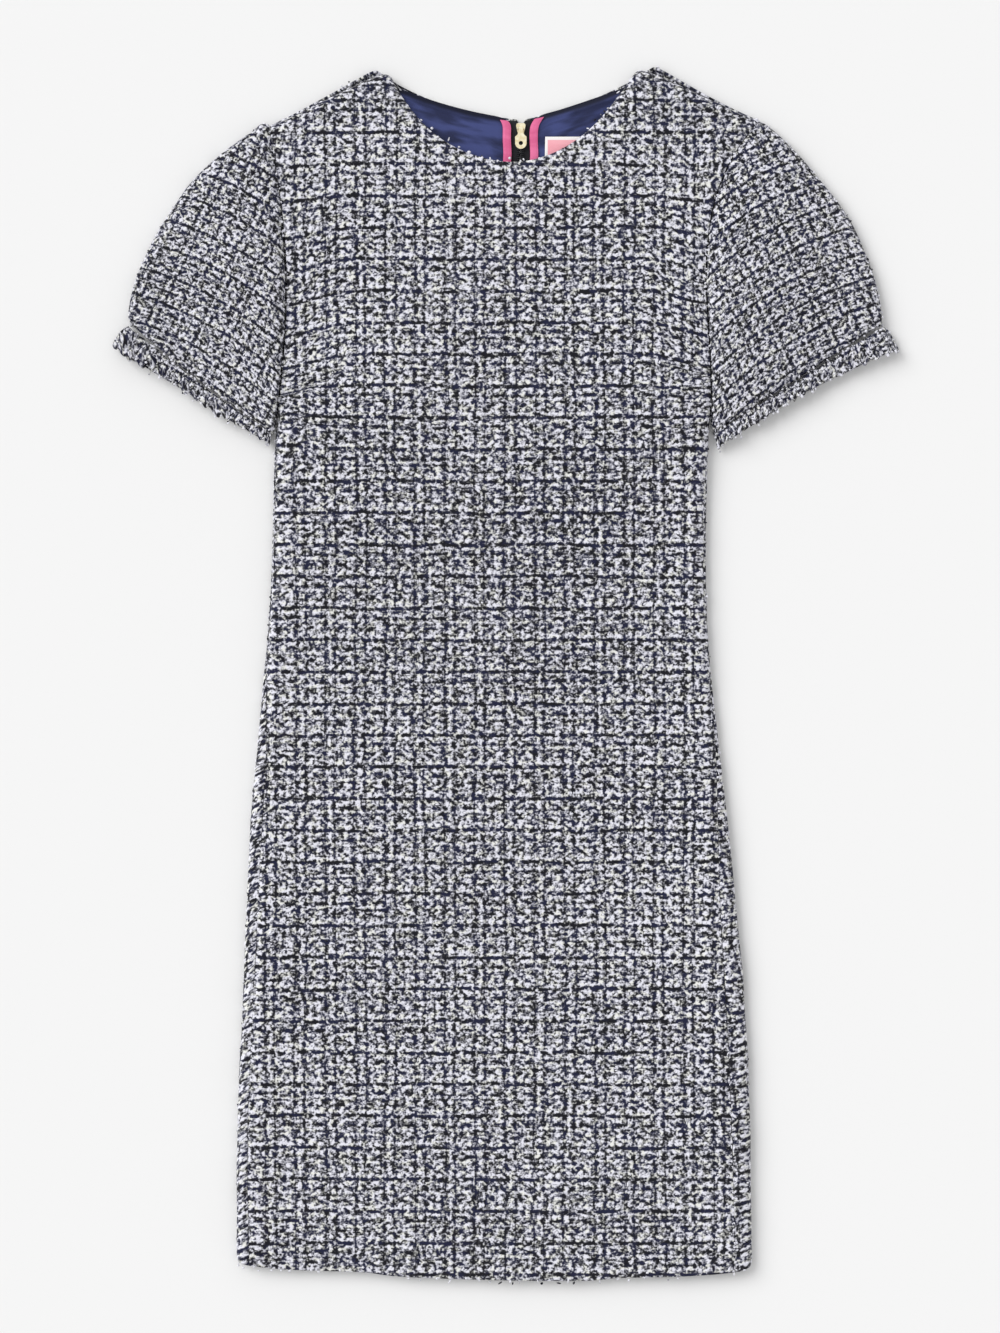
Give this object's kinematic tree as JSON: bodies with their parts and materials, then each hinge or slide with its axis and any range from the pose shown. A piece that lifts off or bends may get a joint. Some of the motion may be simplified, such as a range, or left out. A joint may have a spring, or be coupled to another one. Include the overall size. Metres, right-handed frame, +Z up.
{
  "type": "shift dress",
  "caption": "Short shift dress of boucle tweed with gathered puff sleeves, ruffled cuffs and a zip down the back, laid flat.",
  "frame": {"origin": "on the surface the dress lies on, under the middle of its outline", "axes": "+X across to the dress's right edge as seen from above, +Y from hem to neck, +Z up from the surface"},
  "size_m": [0.591, 0.9138, 0.0174],
  "materials": {
    "tweed": "boucle tweed, white and grey with navy and black lines",
    "satin_lining": "navy satin",
    "pink_binding": "hot pink grosgrain",
    "zip_tape": "woven tape, near black",
    "zip_coil": "moulded coil, black",
    "label_cloth": "pale pink woven label with a white edge, bare",
    "pale_gold": "polished pale gold plate"
  },
  "bodies": {
    "dress": {"front": "tweed", "back_left": "tweed", "back_right": "tweed", "sleeve_left": "tweed", "sleeve_right": "tweed", "cuff_left": "tweed", "cuff_right": "tweed", "lining_left": "satin_lining", "lining_right": "satin_lining", "binding_left": "pink_binding", "binding_right": "pink_binding", "zip_tape_left": "zip_tape", "zip_tape_right": "zip_tape", "zip_coil_left": "zip_coil", "zip_coil_right": "zip_coil", "label": "label_cloth", "zip_slider": "pale_gold"},
    "pull_tab": {"zip_pull": "pale_gold"}
  },
  "joints": [
    {"name": "pull_swing", "type": "hinge", "parent": "dress", "child": "pull_tab", "pos_m": [0.01115, 0.4085, 0.0065], "axis": [-1, 0, 0], "range_deg": [0, 170]}
  ]
}
